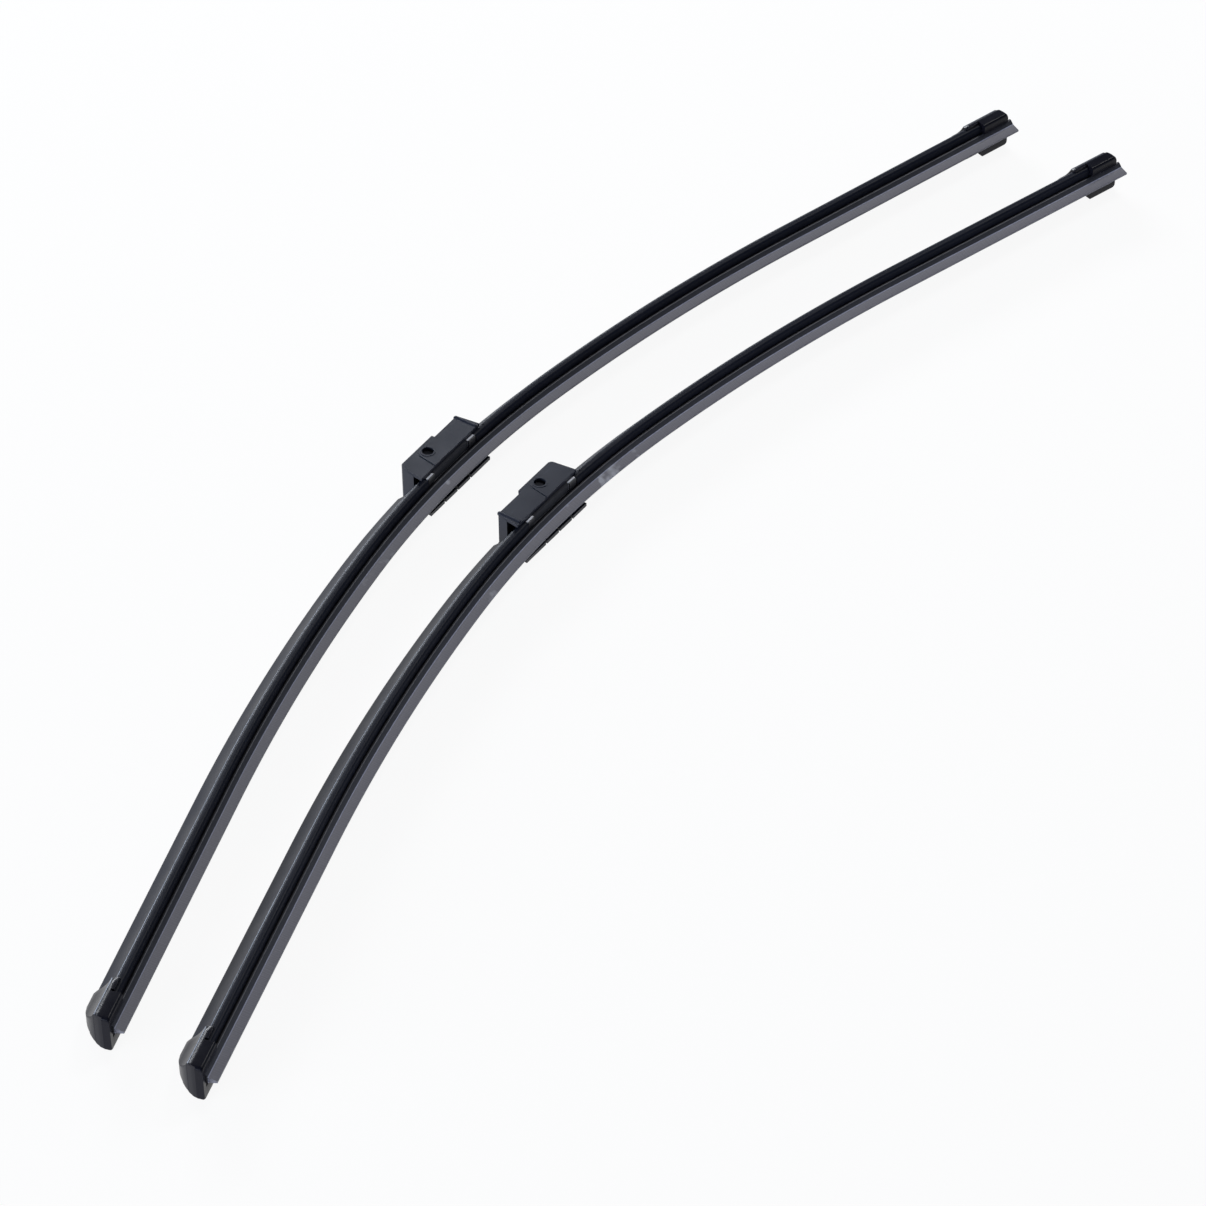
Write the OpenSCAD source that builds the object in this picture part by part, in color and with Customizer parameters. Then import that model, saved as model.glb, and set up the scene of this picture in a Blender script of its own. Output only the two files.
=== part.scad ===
// Pair of flat (beam) windshield wiper blades, 650 mm long, for opposed arms.
// Each blade is a rubber wiping element carried by two spring-steel rails, with
// a wedge spoiler in two halves, an end cap at each end, and a carrier in the
// middle whose rivet holds the arm adapter. The adapters are handed.
//
// Millimetres. Both blades lie on their lee side on the XY plane:
//   X runs along the blades, Y is blade height (rubber lip low, adapter high),
//   Z is up and is the blades' sideways direction (windward side on top).
// Origin: on the ground below the middle of the pair's outline.
// Blade A is the one at the back (+Y), blade B the one in front.

/* [Bow] */
// Radius of the lip line over the middle of the blade
centre_radius = 440; // [300:2:900]
// Length of the middle arc, measured from the blade's centre
centre_arc_len = 63.5; // [40:0.5:100]
// Radius of the lip line between the middle arc and the straight ends
quarter_radius = 900; // [600:10:980]

/* [Blade length] */
// Distance from the centre to the left end of the rubber
rubber_left = 321.5; // [200:0.5:400]
// Distance from the centre to the right end of the rubber
rubber_right = 326.5; // [200:0.5:400]
// Distance from the centre to each end of the steel rails
rail_reach = 319; // [200:0.5:400]
// Distance from the centre to the outer end of each spoiler half
spoiler_reach = 311.5; // [200:0.5:400]

/* [Rubber] */
// Thickness of the lip at its wiping edge
lip_edge_t = 0.84; // [0.5:0.02:1.2]
// Height of the step where the lip meets its wedge
lip_step_h = 3.6; // [2.5:0.1:5]
// Thickness of the lip at that step
lip_step_t = 3.0; // [1.5:0.1:4]
// Width of the wedge shoulders
shoulder_w = 6.0; // [4:0.1:8]
// Height of the top of the shoulders
shoulder_h = 5.9; // [5:0.1:7]
// Thickness of the flexing neck
neck_t = 1.2; // [0.6:0.1:2]
// Width of the rubber head
head_w = 5.8; // [4:0.1:6.4]

/* [Rails] */
// Thickness of each spring-steel rail
rail_t = 0.9; // [0.6:0.05:1.4]
// Width of each rail
rail_w = 4.0; // [2.5:0.1:5]
// Gap between the two rails, across the rubber's web
rail_gap = 1.9; // [1.2:0.1:3]
// Height of the underside of the rails above the lip edge
rail_h = 7.5; // [7:0.1:9]

/* [Spoiler] */
// Height of the crest line along the windward edge
crease_h = 9.6; // [9:0.1:12]
// Height of the spoiler's top edge
crest_h = 18.2; // [14:0.1:24]
// Widest reach of the spoiler on the windward side
windward_reach = 6.75; // [6:0.05:8]
// Widest reach of the spoiler on the lee side
lee_reach = 7.0; // [6:0.05:8]
// Distance from the centre to the inner ends of the spoiler's rail channel
channel_start = 16.4; // [16.2:0.1:20]
// Distance from the centre to the wedge, on the short side of the adapter
wedge_start_short = 20.3; // [18:0.1:30]
// Distance from the centre to the wedge, on the long side of the adapter
wedge_start_long = 23.0; // [20:0.1:32]

/* [End caps] */
// Distance from the centre to the open end of each cap
cap_start = 303.2; // [250:0.1:380]
// Distance from the centre to the front of each cap's lower flanges
cap_flange_start = 310.2; // [250:0.1:380]
// Radius of the cap's round nose, seen from the side
cap_nose_r = 15.6; // [10:0.1:25]
// Distance from the centre to the middle of that radius
cap_nose_at = 308.4; // [250:0.1:380]
// Half width of the cap on the windward side
cap_windward = 7.9; // [7:0.1:10]
// Half width of the cap on the lee side
cap_lee = 9.0; // [7:0.1:10]
// Height of the underside of the cap
cap_low = 4.3; // [3:0.1:6]
// Height of the cap's fin
cap_high = 19.0; // [16:0.1:24]

/* [Carrier] */
// Half length of the carrier
carrier_half_len = 15.6; // [13:0.1:18]
// Half width of the carrier and its clips
carrier_half_w = 6.75; // [6:0.05:8]
// Distance from the centre to the middle of each steel clip
clip_at = 13.9; // [10:0.1:18]
// Length of each clip along the blade
clip_len = 4.2; // [3:0.1:8]
// Height of the rivet above the lip edge
pivot_h = 15.3; // [12:0.1:20]
// Distance from the centre to the rivet, towards the adapter's short side
pivot_off = 4.0; // [0:0.1:8]
// Diameter of the rivet
rivet_d = 4.68; // [3:0.02:8]

/* [Adapter] */
// Diameter of the bores that turn on the rivet
bore_d = 4.8; // [3:0.02:8]
// Distance from the rivet to the plain end, at the bottom
short_side = 14.7; // [10:0.1:20]
// Distance from the rivet to the beaded end, at the bottom
long_side = 25.5; // [18:0.1:34]
// How much each end leans in from bottom to top
end_lean = 1.3; // [0:0.1:3]
// Distance from the rivet to the step in the top
step_at = 8.9; // [6:0.1:14]
// Height of the top over the rivet, above the lip edge
top_h = 19.6; // [18:0.1:24]
// Height of the lower part of the top
low_top_h = 18.2; // [16:0.1:22]
// Height of the windward cheek's bottom edge
cheek_low_h = 7.9; // [6:0.1:10]
// Height of the lee skirt's bottom edge
skirt_low_h = 3.4; // [2:0.1:8]
// Thickness of the cheeks
wall_t = 1.5; // [1:0.1:3]
// Outer face of the windward cheek from the blade's middle plane
cheek_out = 8.6; // [8:0.1:10]
// Outer face of the lee cheek from the blade's middle plane
skirt_out = 9.0; // [8:0.1:10]
// Radius of the upright bead at the long end of each cheek
bead_r = 0.95; // [0.6:0.05:0.95]

/* [Pair] */
// Distance between the two blades
pair_pitch = 48; // [30:1:120]
// Angle of blade B to blade A
pair_turn = -1.1; // [-10:0.1:10]
// Shift of blade B along the blades
pair_shift = 0.8; // [-50:0.1:50]
// Middle of the pair's outline along the blades, from the middle of blade A
pair_mid_x = 1.505; // [-30:0.001:30]
// The same across the blades, from blade A's lip edge
pair_mid_y = -52.875; // [-120:0.001:0]

/* [Hidden] */
$fn = 96;

mid_z = cap_lee;                      // blade middle plane above the ground
fit = 0.06;                           // clearance between parts clipped together
rubber_black = [0.10, 0.10, 0.11];
spoiler_black = [0.07, 0.08, 0.11];
cap_black = [0.04, 0.04, 0.06];
plastic_black = [0.14, 0.15, 0.20];
steel = [0.55, 0.56, 0.58];

// ---------------------------------------------------------------- bow line
// Each half of the blade runs in an arc over the middle, then in a flatter arc,
// then straight. The flatter arc turns twice by an angle with a sine of 0.07584
// and a cosine of 0.99712, so the stretches on either side of it meet exactly.
quarter_step = atan2(237, 3116);
centre_turn = arc_turn(centre_radius, centre_arc_len);
quarter_arc_len = quarter_radius * 2 * quarter_step * PI / 180;
straight_from = centre_arc_len + quarter_arc_len;

function arc_turn(radius, length) = length / radius * 180 / PI;

// Moves children along an arc that leaves the origin in the +X direction.
module along_arc(radius, turn) {
    translate([0, -radius])
        rotate([0, 0, -turn])
            translate([0, radius])
                children();
}

// Puts children where the flatter arc starts.
module at_quarter_arc() {
    along_arc(centre_radius, centre_turn)
        children();
}

// Puts children where the straight stretch starts.
module at_straight() {
    at_quarter_arc()
        along_arc(quarter_radius, quarter_step)
            along_arc(quarter_radius, quarter_step)
                children();
}

// Puts children at `s` along the right half, in its middle arc or its straight
// stretch, with X along the lip line and Y in height.
module at_bow(s) {
    if (s < straight_from)
        along_arc(centre_radius, arc_turn(centre_radius, s))
            children();
    else
        at_straight()
            translate([s - straight_from, 0])
                children();
}

// Sweeps a [height, sideways] profile back along an arc that ends at the origin.
module arc_back(radius, length) {
    translate([0, -radius])
        rotate([0, 0, 90])
            rotate_extrude(angle = arc_turn(radius, length), $fn = 720)
                translate([radius, 0])
                    children();
}

// A block that cuts off everything within reach on the -X side of the origin.
module cut_behind() {
    translate([-10, -10, -20])
        cube([10, 40, 40]);
}

// Sweeps a profile along the right half, from `s0` in its middle arc to `s1` in
// its straight stretch.
module sweep_right(s0, s1) {
    spare = 1;
    difference() {
        at_quarter_arc()
            arc_back(centre_radius, centre_arc_len - s0 + (s0 > 0 ? 0 : spare))
                children();
        cut_behind();
    }
    difference() {
        at_straight()
            arc_back(quarter_radius, quarter_arc_len + spare)
                children();
        at_quarter_arc()
            cut_behind();
    }
    sweep_end(straight_from, s1)
        children();
}

// Sweeps a profile over part of the straight stretch.
module sweep_end(s0, s1) {
    at_bow(s0)
        rotate([90, 0, 90])
            linear_extrude(s1 - s0)
                children();
}

// Sweeps a profile across the blade's centre, within its middle arc.
module sweep_middle(half_len) {
    at_bow(half_len)
        arc_back(centre_radius, 2 * half_len)
            children();
}

// Sweeps a profile over the whole blade.
module sweep_across(left, right) {
    sweep_right(0, right)
        children();
    mirror([1, 0, 0])
        sweep_right(0, left)
            children();
}

// ---------------------------------------------------------------- profiles
// Points are [height above the lip edge, sideways], windward side positive.

// One side of the rubber section, from the lip edge up to the head.
function rubber_side() = [
    [0, lip_edge_t / 2],
    [lip_step_h - 0.25, lip_step_t / 2 - 0.2],
    [lip_step_h, lip_step_t / 2],
    [shoulder_h - 1.05, shoulder_w / 2 - 0.25],
    [shoulder_h - 0.75, shoulder_w / 2],
    [shoulder_h, shoulder_w / 2],
    [shoulder_h, neck_t / 2],
    [rail_h - 0.75, neck_t / 2],
    [rail_h - 0.75, head_w / 2],
    [rail_h - fit, head_w / 2],
    [rail_h - fit, rail_gap / 2 - fit],
    [rail_h + rail_t + fit, rail_gap / 2 - fit],
    [rail_h + rail_t + fit, head_w / 2 - 0.4],
    [rail_h + rail_t + 0.55, head_w / 2 - 0.4]
];

function other_side(points) = [
    for (i = [len(points) - 1 : -1 : 0]) [points[i][0], -points[i][1]]
];

module rubber_profile() {
    polygon(concat(rubber_side(), other_side(rubber_side())));
}

module rail_profile() {
    translate([rail_h, rail_gap / 2])
        square([rail_t, rail_w]);
}

// Concave slope from the windward crest line up to the top edge.
slope_steps = 6;
function slope_point(k, grow) = let (u = k / slope_steps) [
    crease_h + grow + (crest_h - crease_h) * (0.55 * u + 0.45 * u * u),
    windward_reach - 0.35 + grow / 2 - (windward_reach + 4.2) * u
];

// Outline of the wedge spoiler, `grow` larger all round, down to `low`.
function spoiler_outline(grow, low) = concat(
    [
        [low, windward_reach - 1.0 + grow],
        [low + 0.45, windward_reach - 0.3 + grow],
        [low + 1.1, windward_reach + grow],
        [crease_h - 0.7, windward_reach + grow]
    ],
    [for (k = [0 : slope_steps]) slope_point(k, grow)],
    [
        [crest_h + grow, -5.1],
        [crest_h - 0.4, -5.6 - grow],
        [13.6, -6.0 - grow],
        [9.4, -6.5 - grow],
        [7.8, -lee_reach - grow],
        [low + 0.4, -lee_reach - grow],
        [low, -lee_reach + 0.5 - grow]
    ]
);

spoiler_low = 6.3;

// Room for both rails, with a little clearance.
module rail_clearance() {
    translate([rail_h - fit, -(rail_gap / 2 + rail_w + fit)])
        square([rail_t + 2 * fit, rail_gap + 2 * rail_w + 2 * fit]);
}

// Room inside the spoiler for the rails and the rubber head.
module spoiler_channel() {
    rail_clearance();
    translate([spoiler_low - 1, -(head_w / 2 + 0.3)])
        square([rail_h + rail_t + 0.75 - spoiler_low + 1, head_w + 0.6]);
}

// Full wedge section, hollow under the slope.
module wedge_profile() {
    difference() {
        polygon(spoiler_outline(0, spoiler_low));
        spoiler_channel();
        polygon([[10.5, -5.0], [10.5, 0.6], [13.3, -3.0], [15.9, -4.6], [15.9, -4.9]]);
    }
}

// ---------------------------------------------------------------- blade parts
module rubber() {
    color(rubber_black)
        sweep_across(rubber_left, rubber_right)
            rubber_profile();
}

module rail() {
    color(steel)
        sweep_across(rail_reach, rail_reach)
            rail_profile();
}

// Right half of the spoiler. Its wedge starts at `wedge_from`; nearer the centre
// only the rail channel under the wedge runs on, to meet the carrier.
module spoiler_half(wedge_from) {
    color(spoiler_black)
        difference() {
            sweep_right(channel_start, spoiler_reach)
                wedge_profile();
            at_bow(wedge_from)
                translate([-10, crease_h, -10])
                    cube([10, 12, 20]);
        }
}

// Cap outline: windward ridge, slope, fin and a flat lee side it lies on.
function cap_outline() = concat(
    [
        [cap_low, cap_windward - 0.7],
        [cap_low + 0.7, cap_windward],
        [crease_h - 0.4, cap_windward]
    ],
    [for (k = [0 : slope_steps - 1]) slope_point(k, 1.0) + [0.35, 0.25]],
    [
        [cap_high, -3.9],
        [cap_high, -6.6],
        [13.5, -7.7],
        [10.5, -cap_lee],
        [cap_low + 0.7, -cap_lee],
        [cap_low, -cap_lee + 0.7]
    ]
);

// Right-hand end cap: a hood over the spoiler with flanges under the rails. The
// rubber ends at `rubber_end`, inside the cap's nose or sticking out through it.
module cap(rubber_end) {
    color(cap_black)
        difference() {
            intersection() {
                sweep_end(cap_start, cap_nose_at + cap_nose_r)
                    polygon(cap_outline());
                at_bow(cap_nose_at)
                    translate([0, 3.3, -12])
                        union() {
                            cylinder(r = cap_nose_r, h = 24);
                            translate([-20, -10, 0])
                                cube([20, 10 + cap_nose_r, 24]);
                        }
            }
            sweep_end(cap_start - 1, spoiler_reach + 0.4)
                polygon(spoiler_outline(0.15, spoiler_low - 0.5));
            sweep_end(cap_start - 1, rubber_end + 0.4)
                translate([cap_low - 1, -shoulder_w / 2 - 0.35])
                    square([shoulder_h + 1.2 - cap_low, shoulder_w + 0.7]);
            sweep_end(cap_start - 1, rubber_end + 0.4)
                translate([cap_low - 1, -head_w / 2 - 0.25])
                    square([rail_h + rail_t + 1.9 - cap_low, head_w + 0.5]);
            sweep_end(cap_start - 1, rail_reach + 0.4)
                rail_clearance();
            cap_relief();
        }
}

// Cuts the lower flanges back and leaves a short slot in front of them.
module cap_relief() {
    sweep_end(cap_start - 1, cap_flange_start)
        translate([cap_low - 1, -cap_lee - 1])
            square([spoiler_low + 1.5 - cap_low, cap_lee + cap_windward + 2]);
    for (side = [-1, 1])
        sweep_end(cap_flange_start - 0.9, cap_flange_start + 0.1)
            translate([spoiler_low, side > 0 ? cap_windward - 2.2 : -cap_lee - 1])
                square([2.4, 3.2]);
}

// ---------------------------------------------------------------- middle parts
// Steel clip: a bar over the rails with a claw folded under each one.
module clip() {
    claw_in = rail_gap / 2 + rail_w - 1.5;
    bar_low = rail_h + rail_t + fit;
    color(steel)
        at_bow(clip_at)
            translate([-clip_len / 2, 0, 0])
                for (side = [-1, 1]) {
                    clip_bar(bar_low, side);
                    translate([0, rail_h - 1.0, side > 0 ? claw_in : -carrier_half_w])
                        cube([clip_len, 1.0 - fit, carrier_half_w - claw_in]);
                    translate([0, rail_h - 1.0,
                               side > 0 ? rail_gap / 2 + rail_w + fit : -carrier_half_w])
                        cube([clip_len, rail_t + 2.0,
                              carrier_half_w - rail_gap / 2 - rail_w - fit]);
                }
}

// Half of the clip's bar, stepping over the rubber head.
module clip_bar(bar_low, side) {
    head_clear = head_w / 2 - 0.25;
    translate([0, bar_low, side > 0 ? head_clear : -carrier_half_w])
        cube([clip_len, 0.94, carrier_half_w - head_clear]);
    translate([0, bar_low + 0.6, side > 0 ? 0 : -head_clear - 0.5])
        cube([clip_len, 0.6, head_clear + 0.5]);
}

plate_low = 9.7;      // underside of the carrier plate over the clips
plate_high = 10.9;
skirt_low = 6.8;      // bottom edge of the carrier between the clips
ear_in = 4.5;
ear_out = 6.0;
ear_r = rivet_d / 2 + 0.26;

// Carrier: a plate on the rails with two upright ears for the rivet.
module carrier() {
    inner_half = clip_at - clip_len / 2 - 0.15;
    color(plastic_black)
        difference() {
            union() {
                translate([-carrier_half_len, plate_low, -carrier_half_w])
                    cube([2 * carrier_half_len, plate_high - plate_low, 2 * carrier_half_w]);
                translate([-inner_half, skirt_low, -carrier_half_w])
                    cube([2 * inner_half, plate_high - skirt_low, 2 * carrier_half_w]);
                for (side = [-1, 1])
                    translate([-pivot_off, 0, side > 0 ? ear_in : -ear_out])
                        carrier_ear();
            }
            sweep_middle(carrier_half_len + 1)
                translate([skirt_low - 1, -(head_w / 2 + 0.3)])
                    square([rail_h + rail_t + 0.75 - skirt_low + 1, head_w + 0.6]);
            sweep_middle(carrier_half_len + 1)
                rail_clearance();
            translate([-pivot_off, pivot_h, -10])
                cylinder(d = rivet_d + 0.02, h = 20);
        }
}

// One upright ear, wide at its foot and round about the rivet.
module carrier_ear() {
    linear_extrude(ear_out - ear_in)
        union() {
            translate([0, pivot_h])
                circle(r = ear_r);
            polygon([
                [-5.5, plate_high - 0.2], [5.5, plate_high - 0.2],
                [ear_r * 0.98, pivot_h], [-ear_r * 0.98, pivot_h]
            ]);
        }
}

module rivet() {
    windward_end = 7.5;
    lee_end = 7.7;
    chamfer = 0.4;
    color(steel)
        translate([-pivot_off, pivot_h, -lee_end])
            rotate_extrude()
                polygon([
                    [0, 0], [rivet_d / 2 - chamfer, 0], [rivet_d / 2, chamfer],
                    [rivet_d / 2, lee_end + windward_end - chamfer],
                    [rivet_d / 2 - chamfer, lee_end + windward_end],
                    [0, lee_end + windward_end]
                ]);
}

// ---------------------------------------------------------------- adapter
// Drawn about the rivet: X towards the beaded end, Y in height.
top_y = top_h - pivot_h;
low_top_y = low_top_h - pivot_h;
corner_r = 2.0;
bead_x = long_side - end_lean - bead_r + 0.2;

// Outline of one cheek, its bottom edge at height `low_h`.
module cheek_outline(low_h) {
    low_y = low_h - pivot_h;
    lean = end_lean / (top_h - cheek_low_h);
    union() {
        polygon([
            [-short_side - lean * (cheek_low_h - low_h), low_y],
            [long_side + lean * (cheek_low_h - low_h), low_y],
            [long_side - end_lean, low_top_y],
            [step_at, low_top_y],
            [step_at - 0.2, top_y],
            [-short_side + end_lean + corner_r, top_y],
            [-short_side + end_lean, top_y - corner_r]
        ]);
        translate([-short_side + end_lean + corner_r, top_y - corner_r])
            circle(r = corner_r);
    }
}

// Round-topped raised panel about the bore, widening to the bottom edge.
module panel_outline() {
    union() {
        translate([0, -0.3])
            circle(r = 4.2);
        polygon([[-4.2, -0.3], [4.2, -0.3], [5.4, cheek_low_h - pivot_h],
                 [-5.4, cheek_low_h - pivot_h]]);
    }
}

module adapter() {
    color(plastic_black)
        translate([-pivot_off, pivot_h, 0])
            difference() {
                union() {
                    adapter_cheeks();
                    adapter_top();
                    adapter_ends();
                    adapter_web();
                    for (side = [-1, 1])
                        adapter_bead(side);
                }
                translate([0, 0, -12])
                    cylinder(d = bore_d, h = 24);
                for (side = [-1, 1])
                    translate([0, 0, side > 0 ? cheek_out + 0.05 : -skirt_out - 0.3])
                        cylinder(d1 = side > 0 ? bore_d : bore_d + 0.6,
                                 d2 = side > 0 ? bore_d + 0.6 : bore_d, h = 0.3);
                translate([11, low_top_y - 2, -4])
                    cube([6, 4, 8]);
            }
}

// Both side walls with the bearing bosses, panel and ring on their faces.
module adapter_cheeks() {
    boss_in = ear_out + 0.35;
    translate([0, 0, cheek_out - wall_t])
        linear_extrude(wall_t)
            cheek_outline(cheek_low_h);
    translate([0, 0, -skirt_out])
        linear_extrude(skirt_out - carrier_half_w - 0.65)
            difference() {
                cheek_outline(skirt_low_h);
                for (k = [0 : 2])
                    translate([8.9 * k - 5.85, skirt_low_h - pivot_h - 1])
                        square([0.9, 3.2]);
            }
    translate([0, 0, boss_in])
        cylinder(r = 3.9, h = cheek_out - boss_in - 0.5);
    translate([0, 0, -skirt_out + 0.5])
        cylinder(r = 3.9, h = skirt_out - boss_in - 0.5);
    translate([0, 0, cheek_out - 0.2])
        linear_extrude(0.45)
            panel_outline();
    translate([0, 0, cheek_out])
        cylinder(r = bore_d / 2 + 0.75, h = 0.4);
}

// Roof plates, high over the rivet and low where the arm seats.
module adapter_top() {
    roof_t = 1.3;
    inner_lee = -skirt_out + 1;
    inner_w = cheek_out - 1 - inner_lee;
    translate([-short_side + end_lean + corner_r, top_y - roof_t, inner_lee])
        cube([step_at - 0.3 + short_side - end_lean - corner_r, roof_t, inner_w]);
    translate([-short_side + end_lean + corner_r, top_y - corner_r, inner_lee])
        intersection() {
            cylinder(r = corner_r, h = inner_w);
            translate([-corner_r, 0, 0])
                cube([corner_r, corner_r, inner_w]);
        }
    translate([step_at - 1.6, low_top_y - roof_t, inner_lee])
        cube([long_side - end_lean - 1 - step_at + 1.6, roof_t, inner_w]);
    translate([step_at - 1.2, low_top_y - roof_t, inner_lee])
        cube([1.0, top_y - low_top_y + roof_t - 0.2, inner_w]);
}

// End walls, leaning with the cheeks and stopping above the spoiler.
module adapter_ends() {
    inner_lee = -skirt_out + 1;
    inner_w = cheek_out - 1 - inner_lee;
    lean = end_lean / (top_h - cheek_low_h);
    short_low = 12.3 - pivot_h;
    long_low = 13.6 - pivot_h;
    translate([0, 0, inner_lee])
        linear_extrude(inner_w) {
            polygon([
                [-short_side + lean * (short_low + pivot_h - cheek_low_h), short_low],
                [-short_side + lean * (short_low + pivot_h - cheek_low_h) + wall_t, short_low],
                [-short_side + end_lean + wall_t, top_y - corner_r],
                [-short_side + end_lean, top_y - corner_r]
            ]);
            polygon([
                [long_side - lean * (long_low + pivot_h - cheek_low_h), long_low],
                [long_side - lean * (long_low + pivot_h - cheek_low_h) - wall_t, long_low],
                [long_side - end_lean - wall_t, low_top_y],
                [long_side - end_lean, low_top_y]
            ]);
        }
}

// Upright bead down the long end of a cheek, with a round top.
module adapter_bead(side) {
    bead_low = cheek_low_h - pivot_h + 0.4;
    bead_top = low_top_y - 0.1;
    bead_z = side > 0 ? cheek_out + 0.4 - bead_r : -skirt_out + bead_r;
    translate([bead_x, bead_top, bead_z])
        sphere(r = bead_r);
    translate([bead_x, bead_low, bead_z])
        rotate([-90, 0, 0])
            cylinder(r = bead_r, h = bead_top - bead_low);
}

// Cross web between the arm slot and the long end wall.
module adapter_web() {
    web_low = 13.6 - pivot_h;
    translate([18.2, web_low, -skirt_out + 1])
        cube([1.2, low_top_y - web_low - 0.5, cheek_out + skirt_out - 2]);
}

// ---------------------------------------------------------------- placement
module blade_a() {
    translate([-pair_mid_x, -pair_mid_y, mid_z])
        children();
}

module blade_b() {
    translate([pair_shift - pair_mid_x, -pair_pitch - pair_mid_y, mid_z])
        rotate([0, 0, pair_turn])
            children();
}

// Blade B's middle parts are the mirror image of blade A's.
module mirrored() {
    mirror([1, 0, 0])
        children();
}

module turned_over() {
    mirror([0, 0, 1])
        children();
}

blade_a() rubber();  // rubber_a
blade_a() rail();  // rail_upper_a
blade_a() turned_over() rail();  // rail_lower_a
blade_a() mirrored() spoiler_half(wedge_start_short);  // spoiler_left_a
blade_a() spoiler_half(wedge_start_long);  // spoiler_right_a
blade_a() mirrored() cap(rubber_left);  // cap_left_a
blade_a() cap(rubber_right);  // cap_right_a
blade_a() mirrored() clip();  // clip_left_a
blade_a() clip();  // clip_right_a
blade_a() carrier();  // carrier_a
blade_a() rivet();  // rivet_a
blade_a() adapter();  // adapter_a
blade_b() rubber();  // rubber_b
blade_b() rail();  // rail_upper_b
blade_b() turned_over() rail();  // rail_lower_b
blade_b() mirrored() spoiler_half(wedge_start_long);  // spoiler_left_b
blade_b() spoiler_half(wedge_start_short);  // spoiler_right_b
blade_b() mirrored() cap(rubber_left);  // cap_left_b
blade_b() cap(rubber_right);  // cap_right_b
blade_b() mirrored() clip();  // clip_left_b
blade_b() clip();  // clip_right_b
blade_b() mirrored() carrier();  // carrier_b
blade_b() mirrored() rivet();  // rivet_b
blade_b() mirrored() adapter();  // adapter_b
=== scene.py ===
"""Looks for a pair of flat windshield wiper blades: materials, detail, light and camera."""
import math
import bmesh
import bpy
from mathutils import Matrix, Vector


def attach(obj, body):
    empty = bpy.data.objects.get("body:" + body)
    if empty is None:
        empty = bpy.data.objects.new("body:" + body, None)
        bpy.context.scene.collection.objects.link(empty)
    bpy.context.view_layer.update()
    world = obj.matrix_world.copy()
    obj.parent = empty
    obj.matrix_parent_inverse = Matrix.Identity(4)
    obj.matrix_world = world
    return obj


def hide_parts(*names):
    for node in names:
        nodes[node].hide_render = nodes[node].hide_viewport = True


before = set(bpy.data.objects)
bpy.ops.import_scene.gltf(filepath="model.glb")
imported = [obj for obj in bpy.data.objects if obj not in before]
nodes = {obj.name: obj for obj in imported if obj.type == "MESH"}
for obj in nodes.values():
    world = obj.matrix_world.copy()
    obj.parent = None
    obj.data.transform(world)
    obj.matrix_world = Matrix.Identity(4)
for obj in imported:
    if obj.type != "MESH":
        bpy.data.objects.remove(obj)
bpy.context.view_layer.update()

MM = 0.001
TO_MM = 1000.0

# ------------------------------------------------------------------ bow line
# The blade's lip line, as in the CAD model: an arc, a flatter arc, then straight.
R_CENTRE, L_CENTRE, R_QUARTER = 440.0, 63.5, 900.0
QUARTER_TURN = 2 * math.atan2(237, 3116)
CENTRE_TURN = L_CENTRE / R_CENTRE
L_QUARTER = R_QUARTER * QUARTER_TURN
STRAIGHT_FROM = L_CENTRE + L_QUARTER
MID_X, MID_Y, MID_Z = 1.505, -52.875, 9.0


def bow(s):
    """Point on the lip line and its turn at s millimetres along the blade."""
    a = abs(s)
    if a < L_CENTRE:
        turn = a / R_CENTRE
        x, y = R_CENTRE * math.sin(turn), R_CENTRE * (math.cos(turn) - 1)
    else:
        b = min(a, STRAIGHT_FROM) - L_CENTRE
        turn = CENTRE_TURN + b / R_QUARTER
        cx = (R_CENTRE - R_QUARTER) * math.sin(CENTRE_TURN)
        cy = (R_CENTRE - R_QUARTER) * math.cos(CENTRE_TURN) - R_CENTRE
        x, y = cx + R_QUARTER * math.sin(turn), cy + R_QUARTER * math.cos(turn)
        c = max(0.0, a - STRAIGHT_FROM)
        x, y = x + c * math.cos(turn), y - c * math.sin(turn)
    return (x, y, turn) if s >= 0 else (-x, y, -turn)


def at_bow(s, h, z):
    """Place of height h and sideways z above the lip line at s, in blade millimetres."""
    x, y, turn = bow(s)
    return Vector((x + h * math.sin(turn), y + h * math.cos(turn), z))


# Blade B's place beside blade A, in blade A's millimetres.
B_X, B_Y, B_TURN = 0.8, -48.0, math.radians(-1.1)
TO_FRAME = {
    "a": Matrix.Translation((-MID_X, -MID_Y, MID_Z)),
    "b": (Matrix.Translation((B_X - MID_X, B_Y - MID_Y, MID_Z))
          @ Matrix.Rotation(B_TURN, 4, "Z")),
}


def rounded(points, radii, steps=3):
    """A closed outline with each corner replaced by a short curve."""
    out = []
    for i, p in enumerate(points):
        r = radii[i] if isinstance(radii, (list, tuple)) else radii
        a, b = Vector(points[i - 1]), Vector(points[(i + 1) % len(points)])
        p = Vector(p)
        ra, rb = min(r, (a - p).length * 0.45), min(r, (b - p).length * 0.45)
        if r <= 0:
            out.append(tuple(p))
            continue
        p0, p2 = p + (a - p).normalized() * ra, p + (b - p).normalized() * rb
        for k in range(steps + 1):
            t = k / steps
            out.append(tuple(p0 * (1 - t) ** 2 + p * 2 * t * (1 - t) + p2 * t * t))
    return out


def stations(s0, s1, step):
    count = max(1, round(abs(s1 - s0) / step))
    return [s0 + (s1 - s0) * k / count for k in range(count + 1)]


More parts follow.
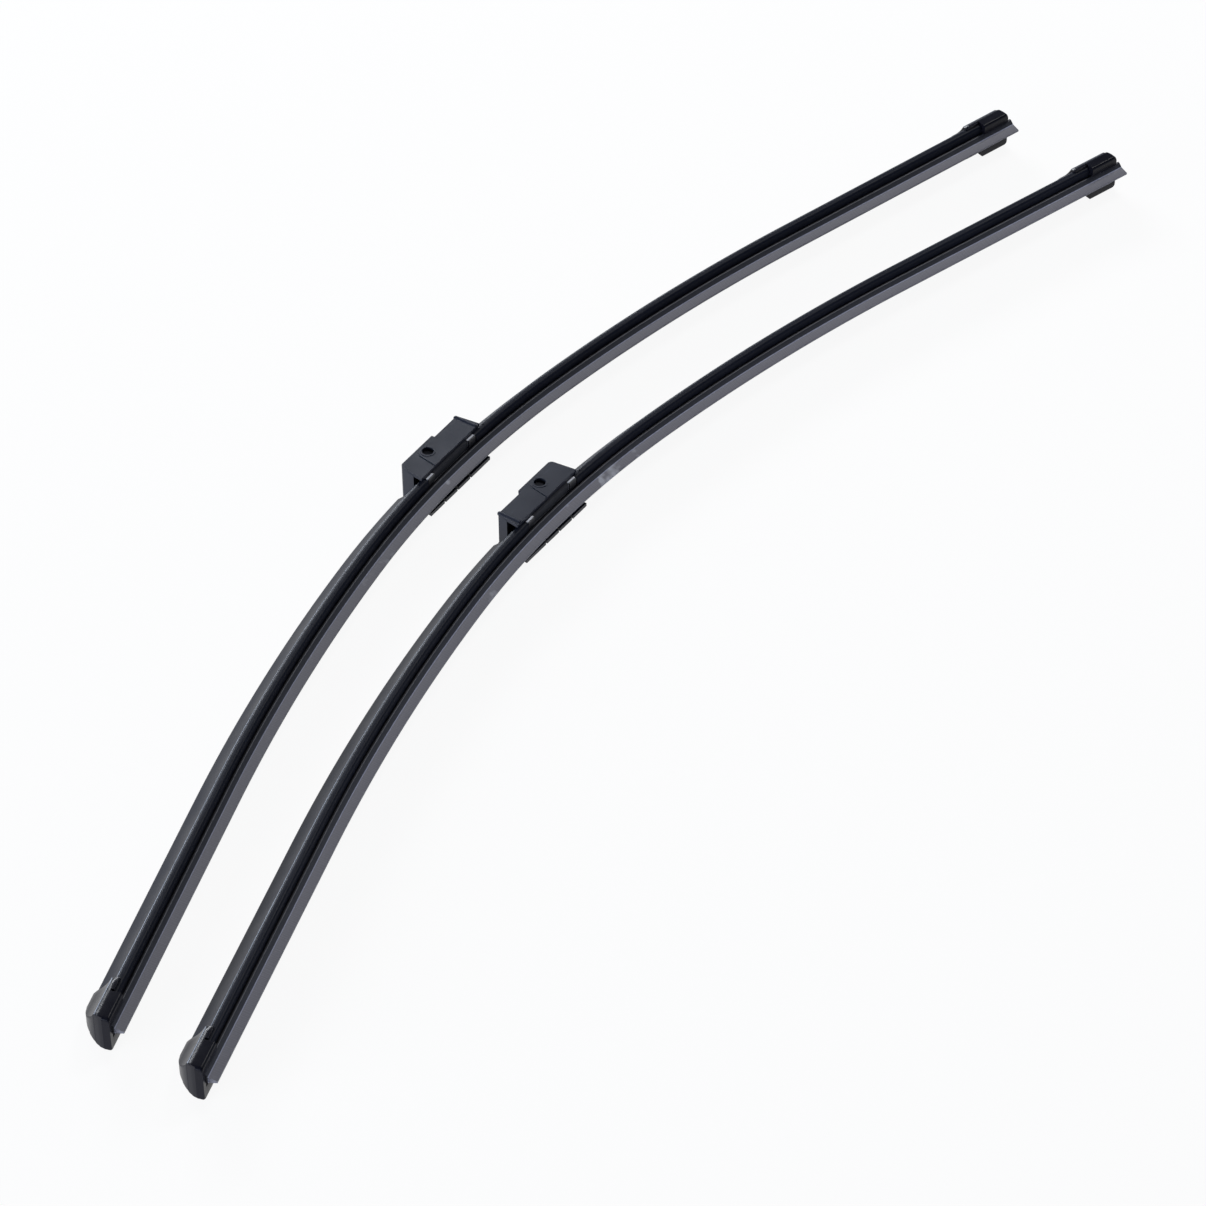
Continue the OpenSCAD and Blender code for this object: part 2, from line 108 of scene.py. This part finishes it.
def add_sweep(bm, layers, outline, along, blade, lean=0.0, lean_from=0.0, shape=None):
    """Adds a closed sweep of the outline through the stations, capped at both ends.

    shape, where given, moves each outline point according to its station.
    """
    rings = []
    for n, s in enumerate(along):
        ring = []
        for h, z in outline:
            if shape:
                h, z = shape(s, h, z)
            shift = lean * (h - lean_from) if n == 0 else 0.0
            v = bm.verts.new(TO_FRAME[blade] @ at_bow(s + shift, h, z) * MM)
            v[layers[0]], v[layers[1]], v[layers[2]] = s * MM, h * MM, z * MM
            ring.append(v)
        rings.append(ring)
    for r0, r1 in zip(rings, rings[1:]):
        for i in range(len(r0)):
            j = (i + 1) % len(r0)
            bm.faces.new((r0[i], r0[j], r1[j], r1[i])).smooth = True
    bm.faces.new(rings[0][::-1])
    bm.faces.new(rings[-1])


def new_piece(name, fill, body, replaced=()):
    """Makes an object from a function that fills a bmesh, riding on a body."""
    bm = bmesh.new()
    layers = [bm.verts.layers.float.new(n) for n in ("along", "height", "side")]
    fill(bm, layers)
    bmesh.ops.recalc_face_normals(bm, faces=bm.faces)
    mesh = bpy.data.meshes.new(name)
    bm.to_mesh(mesh)
    bm.free()
    mesh.set_sharp_from_angle(angle=math.radians(38))
    obj = bpy.data.objects.new(name, mesh)
    bpy.context.scene.collection.objects.link(obj)
    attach(obj, body)
    if replaced:
        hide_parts(*replaced)
    return obj


# ------------------------------------------------------------------ outlines
# Points are (height above the lip line, sideways place), in millimetres.
RUBBER_SIDE = [(0.0, 0.42), (3.35, 1.3), (3.6, 1.5), (4.85, 2.75), (5.15, 3.0), (5.9, 3.0),
               (5.9, 0.6), (6.75, 0.6), (6.75, 2.9), (7.44, 2.9), (7.44, 0.89), (8.46, 0.89),
               (8.46, 2.5), (8.95, 2.5)]
RUBBER = RUBBER_SIDE + [(h, -z) for h, z in RUBBER_SIDE[::-1]]
RUBBER_ROUND = [0.06, 0.12, 0.18, 0.25, 0.2, 0.15, 0.1, 0.1, 0.1, 0.1, 0.05, 0.05, 0.1, 0.1]

LOW, CREASE, CREST = 6.3, 9.6, 18.2
SLOPE = [(CREASE + (CREST - CREASE) * (0.55 * u + 0.45 * u * u), 6.4 - 10.95 * u)
         for u in (k / 6 for k in range(7))]
CHANNEL = [(LOW, -3.2), (7.44, -3.2), (7.44, -5.01), (8.46, -5.01), (8.46, -3.2), (9.15, -3.2),
           (9.15, 3.2), (8.46, 3.2), (8.46, 5.01), (7.44, 5.01), (7.44, 3.2), (LOW, 3.2)]
WINDWARD = [(LOW, 5.75), (LOW + 0.45, 6.45), (LOW + 1.1, 6.75), (CREASE - 0.7, 6.75)]
LEE_FOOT = [(9.4, -6.5), (7.8, -7.0), (LOW + 0.4, -7.0), (LOW, -6.5)]
LEE = [(CREST, -5.1), (CREST - 0.4, -5.6), (13.6, -6.0)] + LEE_FOOT
WEDGE = WINDWARD + SLOPE + LEE + CHANNEL
WEDGE_ROUND = ([0.2, 0.3, 0.5, 0.3] + [0.28] + [1.2] * 5 + [0.25] + [0.25, 0.25]
               + [0.6] * 4 + [0.3] + [0.05] * 12)
RAIL_CHANNEL = WINDWARD + [(CREASE, 6.4), (CREASE, -6.45)] + LEE_FOOT + CHANNEL

# Stations along the blade, in millimetres from its middle.
RUBBER_FROM, RUBBER_TO = -321.5, 326.5
CHANNEL_FROM, SPOILER_TO = 16.4, 311.5
WEDGE_FROM_LONG_SIDE, WEDGE_FROM_SHORT_SIDE = 23.0, 20.3
CLIP_FROM, CLIP_TO = 11.8, 16.0


def make_rubber(blade):
    outline = rounded(RUBBER, RUBBER_ROUND + RUBBER_ROUND[::-1], 2)

    def fill(bm, layers):
        add_sweep(bm, layers, outline, stations(RUBBER_FROM, RUBBER_TO, 3.0), blade)
    return new_piece("wiping_rubber_" + blade, fill, "blade_" + blade,
                     ["rubber_" + blade])


def make_spoiler(blade, side, wedge_from):
    sign = -1 if side == "left" else 1
    wedge = rounded(WEDGE, WEDGE_ROUND)

    def fill(bm, layers):
        add_sweep(bm, layers, wedge, stations(sign * wedge_from, sign * SPOILER_TO, 3.0), blade,
                  lean=0.12 * sign, lean_from=CREASE)
        add_sweep(bm, layers, rounded(RAIL_CHANNEL, 0.1, 1),
                  stations(sign * CHANNEL_FROM, sign * (wedge_from + 0.4), 2.0), blade)
    return new_piece(f"wedge_spoiler_{side}_{blade}", fill, "blade_" + blade,
                     [f"spoiler_{side}_{blade}"])


# The cap's section, with flanges that wrap under the spoiler.
CAP_SLOPE = [(CREASE + 1.35 + (CREST - CREASE) * (0.55 * u + 0.45 * u * u), 7.15 - 10.95 * u)
             for u in (k / 6 for k in range(6))]
CAP_TOP = ([(9.2, 7.9)] + CAP_SLOPE + [(19.0, -3.9), (19.0, -6.6), (13.5, -7.7), (10.5, -9.0)])
CAP_TOP_ROUND = [0.6, 0.45] + [1.2] * 5 + [0.5, 0.5, 1.0, 0.8]
CAP_BODY = ([(7.2, 3.3), (4.3, 3.3), (4.3, 7.2), (5.0, 7.9)] + CAP_TOP
            + [(5.0, -9.0), (4.3, -8.3), (4.3, -3.3), (7.2, -3.3)])
CAP_BODY_ROUND = [0.1, 0.35, 0.4, 0.4] + CAP_TOP_ROUND + [0.4, 0.4, 0.35, 0.1]
NOSE_AT, NOSE_R, NOSE_H, NOSE_END, NOSE_EDGE = 308.4, 15.6, 3.3, 324.0, 1.3
# The slot for the rubber, inside these, keeps its shape.
NOSE_LOW, NOSE_IN = 7.3, 3.4
MOUTH_AT = 303.2


def nose(s, h, z):
    """Rounds the cap's end: an arc seen from the side, and a soft edge round the end face."""
    a = abs(s)
    t = max(0.0, a - (NOSE_END - NOSE_EDGE)) / NOSE_EDGE
    inset = NOSE_EDGE * (1 - math.sqrt(max(0.0, 1 - t * t)))
    top = NOSE_H + math.sqrt(max(0.0, NOSE_R ** 2 - max(0.0, a - NOSE_AT) ** 2))
    if h > NOSE_LOW:
        h = max(NOSE_LOW, min(h, top) - inset * 0.8)
    if abs(z) > NOSE_IN:
        z -= math.copysign(min(inset * 0.9, abs(z) - NOSE_IN), z)
    return h, z


def cap_cover(low):
    """The cap's section above the height low, without its flanges."""
    return rounded([(low, 7.9)] + CAP_TOP + [(low, -9.0)], [0.1] + CAP_TOP_ROUND + [0.1], 4)


def make_cap(blade, side):
    """End cap: a hood over the spoiler, a bridge, and a body. The left one's end is closed."""
    sign = -1 if side == "left" else 1
    body = rounded(CAP_BODY, CAP_BODY_ROUND, 4)
    ends = [NOSE_END - NOSE_EDGE + NOSE_EDGE * math.sin(k / 8 * math.pi / 2) for k in range(9)]
    hood = cap_cover(7.8)
    bridge = cap_cover(8.8)

    def mouth(s, h, z):
        t = max(0.0, 1 - (abs(s) - MOUTH_AT) / 0.6)
        return (h - 0.35 * t if h > 9 else h), z * (1 - 0.03 * t)

    def fill(bm, layers):
        hood_stops = (MOUTH_AT, 303.4, 303.8, 306.0, 309.35)
        add_sweep(bm, layers, hood, [sign * s for s in hood_stops], blade, shape=mouth)
        add_sweep(bm, layers, bridge, [sign * 309.2, sign * 310.4], blade)
        stops = [310.3, 310.6] + [311.0 + k * 0.36 for k in range(30)] + [321.9]
        if side == "left":
            closed = rounded(CAP_BODY[1:-1], CAP_BODY_ROUND[1:-1], 4)
            add_sweep(bm, layers, body, [sign * s for s in stops], blade, shape=nose)
            add_sweep(bm, layers, closed, [sign * s for s in [321.85] + ends], blade,
                      shape=nose)
        else:
            add_sweep(bm, layers, body, [sign * s for s in stops + ends], blade, shape=nose)
    return new_piece(f"end_cap_{side}_{blade}", fill, "blade_" + blade,
                     [f"cap_{side}_{blade}"])


def make_clip(blade, side):
    """Steel clip: black-coated claws round the rails, with a ragged near-white band."""
    sign = -1 if side == "left" else 1
    outline = [(6.5, 3.45), (6.5, 6.75), (9.35, 6.75), (9.66, 6.4), (9.66, -6.4), (9.35, -6.75),
               (6.5, -6.75), (6.5, -3.45), (7.44, -3.45), (7.44, -5.05), (8.52, -5.05),
               (8.52, -2.7), (9.06, -2.7), (9.06, 2.7), (8.52, 2.7), (8.52, 5.05), (7.44, 5.05),
               (7.44, 3.45)]
    section = rounded(outline, [0.15, 0.35, 0.3, 0.3, 0.3, 0.3, 0.35, 0.15] + [0.05] * 10, 3)

    def fill(bm, layers):
        add_sweep(bm, layers, section, stations(sign * CLIP_FROM, sign * CLIP_TO, 0.7), blade)
    return new_piece(f"rail_clip_{side}_{blade}", fill, "blade_" + blade,
                     [f"clip_{side}_{blade}"])


# ------------------------------------------------------------------ materials
class Nodes:
    """Small helper that adds and links shader nodes."""

    def __init__(self, name):
        self.mat = bpy.data.materials.new(name)
        self.mat.use_nodes = True
        self.tree = self.mat.node_tree
        self.tree.nodes.clear()
        self.out = self.add("ShaderNodeOutputMaterial")
        self.bsdf = self.add("ShaderNodeBsdfPrincipled")
        self.link(self.bsdf.outputs[0], self.out.inputs[0])
        self.coord = self.add("ShaderNodeTexCoord").outputs["Object"]

    def add(self, kind, **inputs):
        node = self.tree.nodes.new(kind)
        for key, value in inputs.items():
            node.inputs[key].default_value = value
        return node

    def link(self, a, b):
        self.tree.links.new(a, b)

    def attribute(self, name):
        node = self.add("ShaderNodeAttribute")
        node.attribute_name = name
        return node.outputs["Fac"]

    def noise(self, scale, detail=4.0, rough=0.55, vector=None):
        node = self.add("ShaderNodeTexNoise")
        node.inputs["Scale"].default_value = scale
        node.inputs["Detail"].default_value = detail
        node.inputs["Roughness"].default_value = rough
        self.link(vector or self.coord, node.inputs["Vector"])
        return node.outputs["Fac"]

    def ramp(self, source, stops):
        node = self.add("ShaderNodeValToRGB")
        elements = node.color_ramp.elements
        elements[0].position, elements[1].position = stops[0][0], stops[-1][0]
        for place, _ in stops[1:-1]:
            elements.new(place)
        for element, (_, colour) in zip(elements, stops):
            element.color = (*colour, 1) if len(colour) == 3 else (colour[0],) * 3 + (1,)
        self.link(source, node.inputs[0])
        return node.outputs[0]

    def math(self, kind, a, b=0.0, clamp=False):
        node = self.add("ShaderNodeMath")
        node.operation, node.use_clamp = kind, clamp
        for i, v in enumerate((a, b)):
            if isinstance(v, (int, float)):
                node.inputs[i].default_value = v
            else:
                self.link(v, node.inputs[i])
        return node.outputs[0]

    def mix(self, fac, a, b):
        node = self.add("ShaderNodeMix")
        node.data_type = "RGBA"
        for i, v in ((0, fac), (6, a), (7, b)):
            if isinstance(v, (tuple, float, int)):
                node.inputs[i].default_value = (*v, 1) if isinstance(v, tuple) else v
            else:
                self.link(v, node.inputs[i])
        return node.outputs[2]

    def stretched(self, scale):
        node = self.add("ShaderNodeMapping")
        node.inputs["Scale"].default_value = scale
        self.link(self.coord, node.inputs["Vector"])
        return node.outputs[0]

    def bump(self, height, strength, distance):
        node = self.add("ShaderNodeBump")
        node.inputs["Strength"].default_value = strength
        node.inputs["Distance"].default_value = distance
        self.link(height, node.inputs["Height"])
        self.link(node.outputs[0], self.bsdf.inputs["Normal"])

    def colour(self, source):
        self.link(source, self.bsdf.inputs["Base Color"])

    def rough(self, source):
        self.link(source, self.bsdf.inputs["Roughness"])


def plastic(name, dark, light, rough, grain, bump, specular=0.5, line=None):
    """Moulded plastic: fine grain, slow colour drift, and faint handling marks.

    line is the height and sideways place of a crest that gets a painted highlight, in mm.
    """
    m = Nodes(name)
    drift = m.noise(60.0, 3.0)
    fine = m.noise(grain, 5.0, 0.7)
    marks = m.ramp(m.noise(900.0, 2.0, 0.6, m.stretched((0.15, 1.0, 1.0))),
                   [(0.66, (0.0,)), (0.74, (1.0,))])
    base = m.mix(m.math("MULTIPLY", marks, 0.25), m.mix(drift, dark, light),
                 tuple(c * 2.2 for c in light))
    # Painted highlight: a thin pale line along the crest, broken up by noise.
    if line:
        near = None
        for attribute, place in zip(("height", "side"), line):
            in_mm = m.math("MULTIPLY", m.attribute(attribute), TO_MM)
            off = m.math("ABSOLUTE", m.math("SUBTRACT", in_mm, place))
            part = m.ramp(off, [(0.14, (1.0,)), (0.30, (0.0,))])
            near = part if near is None else m.math("MULTIPLY", near, part)
        highlight_strength = m.ramp(m.noise(40.0), [(0.3, (0.45,)), (0.6, (0.8,))])
        base = m.mix(m.math("MULTIPLY", near, highlight_strength), base, (0.50, 0.54, 0.62))
    m.colour(base)
    m.rough(m.ramp(m.math("ADD", m.math("MULTIPLY", drift, 0.6), m.math("MULTIPLY", fine, 0.4)),
                   [(0.3, (rough - 0.06,)), (0.7, (rough + 0.07,))]))
    m.bsdf.inputs["Specular IOR Level"].default_value = specular
    m.bump(fine, bump, 0.00005)
    return m.mat


def rubber_material():
    """Black rubber with a graphite-grey lip, fine cut lines across it, painted highlight lines along two
    edges and painted highlight patches on the lip near the middle.
    """
    m = Nodes("wiper rubber")
    height, along = m.attribute("height"), m.attribute("along")
    across = m.add("ShaderNodeCombineXYZ")
    m.link(along, across.inputs[0])
    cuts = m.noise(2600.0, 2.0, 0.5, across.outputs[0])
    lip = m.ramp(m.math("MULTIPLY", height, 1000 / 8.0),
                 [(0.0, (0.85,)), (0.41, (1.0,)), (0.44, (1.0,)), (0.46, (0.10,)), (0.6, (0.0,))])
    grey = m.ramp(cuts, [(0.3, (0.13, 0.125, 0.145)), (0.7, (0.23, 0.22, 0.25))])
    # Painted highlight: pale patches on the lip, only near the blade's middle.
    lip_highlight_spot = m.ramp(m.noise(70.0, 3.0, 0.6), [(0.63, (0.0,)), (0.70, (1.0,))])
    near_middle = m.ramp(m.math("ABSOLUTE", along), [(0.03, (1.0,)), (0.09, (0.0,))])
    lip_highlights = m.math("MULTIPLY", m.math("MULTIPLY", lip_highlight_spot, near_middle), lip)
    body = m.mix(m.noise(300.0), (0.012, 0.012, 0.015), (0.022, 0.022, 0.027))
    # Painted highlights: thin pale lines along the lip's top edge and along the shoulder edge.
    edge = m.ramp(m.math("MULTIPLY", height, 1000 / 8.0),
                  [(0.415, (0.0,)), (0.43, (0.8,)), (0.45, (0.8,)), (0.465, (0.0,)),
                   (0.625, (0.0,)), (0.64, (0.25,)), (0.655, (0.0,))])
    base = m.mix(edge, m.mix(lip, body, grey), (0.45, 0.46, 0.55))
    m.colour(m.mix(m.math("MULTIPLY", lip_highlights, 0.55), base, (0.75, 0.76, 0.8)))
    m.rough(m.ramp(cuts, [(0.3, (0.42,)), (0.7, (0.6,))]))
    m.bump(cuts, 0.35, 0.00006)
    return m.mat


def steel_material():
    """Spring steel, brushed along its length, with a few darker stains."""
    m = Nodes("spring steel")
    grain = m.noise(4000.0, 4.0, 0.6, m.stretched((0.04, 1.0, 1.0)))
    stain = m.noise(160.0, 4.0, 0.6)
    m.colour(m.mix(stain, (0.42, 0.43, 0.46), (0.66, 0.67, 0.69)))
    m.rough(m.ramp(grain, [(0.3, (0.26,)), (0.7, (0.42,))]))
    m.bsdf.inputs["Metallic"].default_value = 1.0
    m.bump(grain, 0.3, 0.00003)
    return m.mat


def clip_material():
    """Black-coated spring steel with a ragged near-white, partly metallic band, 7.2 to 8 mm high."""
    m = Nodes("coated clip")
    height = m.math("MULTIPLY", m.attribute("height"), 100.0)  # in centimetres
    ragged = m.math("ADD", height, m.math("MULTIPLY", m.noise(1800.0, 3.0), 0.03))
    # A near-white, partly metallic band painted on the clip between these heights.
    bright_band = m.ramp(ragged, [(0.715, (0.0,)), (0.725, (1.0,)), (0.80, (1.0,)), (0.81, (0.0,))])
    coat = m.mix(m.noise(900.0), (0.012, 0.012, 0.015), (0.02, 0.02, 0.024))
    m.colour(m.mix(bright_band, coat, (0.86, 0.87, 0.9)))
    m.link(m.math("MULTIPLY", bright_band, 0.3), m.bsdf.inputs["Metallic"])
    m.rough(m.ramp(m.noise(2500.0, 4.0), [(0.3, (0.3,)), (0.7, (0.45,))]))
    m.bump(m.noise(5000.0, 3.0), 0.15, 0.00003)
    return m.mat


def black_rivet_material():
    """Blackened steel rivet, its end faintly scratched."""
    m = Nodes("blackened steel")
    scratch = m.noise(2500.0, 4.0, 0.6, m.stretched((1.0, 0.08, 1.0)))
    m.colour(m.ramp(scratch, [(0.45, (0.03, 0.03, 0.035)), (0.72, (0.10, 0.10, 0.11))]))
    m.rough(m.ramp(scratch, [(0.3, (0.28,)), (0.7, (0.4,))]))
    m.bsdf.inputs["Metallic"].default_value = 0.8
    m.bump(scratch, 0.2, 0.00003)
    return m.mat


rubber_mat = rubber_material()
clip_mat = clip_material()
rivet_mat = black_rivet_material()
steel_mat = steel_material()
# Dark colour, light colour, roughness, grain, bump, specular, and the place of the crest's painted
# highlight.
spoiler_mat = plastic("spoiler plastic", (0.005, 0.006, 0.011), (0.009, 0.011, 0.020),
                      0.42, 5000.0, 0.06, 0.09, (9.68, 6.2))
cap_mat = plastic("cap plastic", (0.004, 0.004, 0.007), (0.008, 0.008, 0.013),
                  0.28, 3000.0, 0.03, 0.12, (10.9, 7.25))
adapter_mat = plastic("adapter plastic", (0.009, 0.011, 0.019), (0.015, 0.018, 0.031),
                      0.38, 7000.0, 0.25, 0.25)
carrier_mat = plastic("carrier plastic", (0.012, 0.013, 0.018), (0.020, 0.022, 0.030),
                      0.5, 6000.0, 0.3, 0.4)

MATERIAL_OF = {"rail": steel_mat, "clip": clip_mat, "rivet": rivet_mat, "cap": cap_mat,
               "carrier": carrier_mat, "adapter": adapter_mat, "rubber": rubber_mat, "spoiler": spoiler_mat}
# Rounding of the CAD pieces' edges, in millimetres.
EDGE_RADIUS = {"adapter": 0.16, "carrier": 0.1, "rivet": 0.05}

for name, node in nodes.items():
    kind = name.split("_")[0]
    node.data.materials.clear()
    node.data.materials.append(MATERIAL_OF[kind])
    if kind in EDGE_RADIUS:
        bevel = node.modifiers.new("edges", "BEVEL")
        bevel.width = EDGE_RADIUS[kind] * MM
        bevel.segments = 2
        bevel.limit_method = "ANGLE"
        bevel.angle_limit = math.radians(35)
        bevel.harden_normals = False

# ------------------------------------------------------------------ detailed pieces
for blade in "ab":
    rubber = make_rubber(blade)
    rubber.data.materials.append(rubber_mat)
    long_side = "right" if blade == "a" else "left"
    for side in ("left", "right"):
        wedge_from = WEDGE_FROM_LONG_SIDE if side == long_side else WEDGE_FROM_SHORT_SIDE
        spoiler = make_spoiler(blade, side, wedge_from)
        spoiler.data.materials.append(spoiler_mat)
        make_cap(blade, side).data.materials.append(cap_mat)
        make_clip(blade, side).data.materials.append(clip_mat)


# ------------------------------------------------------------------ stage
def make_floor():
    """White ground that mostly glows for camera and glossy rays, and keeps faint shadows."""
    mesh = bpy.data.meshes.new("floor")
    half = 6.0
    mesh.from_pydata([(-half, -half, 0), (half, -half, 0), (half, half, 0), (-half, half, 0)],
                     [], [(0, 1, 2, 3)])
    floor = bpy.data.objects.new("floor", mesh)
    floor.location.z = -0.0001
    bpy.context.scene.collection.objects.link(floor)
    mat = bpy.data.materials.new("white floor")
    mat.use_nodes = True
    tree = mat.node_tree
    tree.nodes.clear()
    out = tree.nodes.new("ShaderNodeOutputMaterial")
    mix = tree.nodes.new("ShaderNodeMixShader")
    diffuse = tree.nodes.new("ShaderNodeBsdfDiffuse")
    diffuse.inputs["Color"].default_value = (0.9, 0.9, 0.9, 1)
    glow = tree.nodes.new("ShaderNodeEmission")
    glow.inputs["Strength"].default_value = 1.0
    path = tree.nodes.new("ShaderNodeLightPath")
    seen = tree.nodes.new("ShaderNodeMath")
    seen.operation = "ADD"
    seen.use_clamp = True
    tree.links.new(path.outputs["Is Camera Ray"], seen.inputs[0])
    tree.links.new(path.outputs["Is Glossy Ray"], seen.inputs[1])
    share = tree.nodes.new("ShaderNodeMath")
    share.operation = "MULTIPLY"
    share.inputs[1].default_value = 0.92
    tree.links.new(seen.outputs[0], share.inputs[0])
    tree.links.new(share.outputs[0], mix.inputs[0])
    tree.links.new(diffuse.outputs[0], mix.inputs[1])
    tree.links.new(glow.outputs[0], mix.inputs[2])
    tree.links.new(mix.outputs[0], out.inputs[0])
    mesh.materials.append(mat)


def make_world():
    """A white backdrop for the camera, over a soft sky that lights the object."""
    world = bpy.data.worlds.new("studio")
    bpy.context.scene.world = world
    world.use_nodes = True
    tree = world.node_tree
    tree.nodes.clear()
    out = tree.nodes.new("ShaderNodeOutputWorld")
    mix = tree.nodes.new("ShaderNodeMixShader")
    seen = tree.nodes.new("ShaderNodeBackground")
    seen.inputs["Color"].default_value = (1, 1, 1, 1)
    soft = tree.nodes.new("ShaderNodeBackground")
    coord = tree.nodes.new("ShaderNodeTexCoord")
    split = tree.nodes.new("ShaderNodeSeparateXYZ")
    sky = tree.nodes.new("ShaderNodeValToRGB")
    low, high = sky.color_ramp.elements
    low.position, low.color = 0.02, (0.62, 0.72, 0.95, 1)
    high.position, high.color = 0.45, (0.10, 0.115, 0.15, 1)
    tree.links.new(coord.outputs["Generated"], split.inputs[0])
    tree.links.new(split.outputs["Z"], sky.inputs[0])
    tree.links.new(sky.outputs[0], soft.inputs["Color"])
    path = tree.nodes.new("ShaderNodeLightPath")
    tree.links.new(path.outputs["Is Camera Ray"], mix.inputs[0])
    tree.links.new(soft.outputs[0], mix.inputs[1])
    tree.links.new(seen.outputs[0], mix.inputs[2])
    tree.links.new(mix.outputs[0], out.inputs[0])


def add_light(name, place, aim, size, energy, colour=(1, 1, 1)):
    data = bpy.data.lights.new(name, "AREA")
    data.shape = "RECTANGLE"
    data.size, data.size_y = size
    data.energy = energy
    data.color = colour
    light = bpy.data.objects.new(name, data)
    light.location = place
    light.rotation_euler = (Vector(aim) - Vector(place)).to_track_quat("-Z", "Y").to_euler()
    bpy.context.scene.collection.objects.link(light)


def make_camera():
    """Camera at the picture's viewing angle, looking at a point between the blades."""
    az, el, roll = math.radians(-55.91), math.radians(42.97), math.radians(-0.52)
    aim = Vector((-0.0333, -0.0347, 0.009))
    back = Vector((math.sin(az) * math.cos(el), -math.cos(az) * math.cos(el), math.sin(el)))
    right = Vector((0, 0, 1)).cross(back).normalized()
    up = back.cross(right)
    r2 = right * math.cos(roll) + up * math.sin(roll)
    u2 = up * math.cos(roll) - right * math.sin(roll)
    data = bpy.data.cameras.new("camera")
    data.lens, data.sensor_width = 146.87, 36.0
    data.clip_start, data.clip_end = 0.05, 50.0
    camera = bpy.data.objects.new("camera", data)
    turn = Matrix((r2, u2, back)).transposed().to_4x4()
    camera.matrix_world = Matrix.Translation(aim + back * 1.917) @ turn
    bpy.context.scene.collection.objects.link(camera)
    bpy.context.scene.camera = camera


make_floor()
make_world()
add_light("key", (1.15, 1.75, 0.80), (0, 0, 0), (1.3, 0.35), 48, (0.93, 0.96, 1.0))
add_light("side", (-1.7, 0.7, 0.30), (0, 0, 0), (1.4, 0.35), 34, (0.78, 0.88, 1.0))
add_light("over", (1.3, -0.15, 1.75), (0, 0, 0), (0.7, 0.5), 14)
make_camera()
scene = bpy.context.scene
scene.view_settings.view_transform = "Standard"
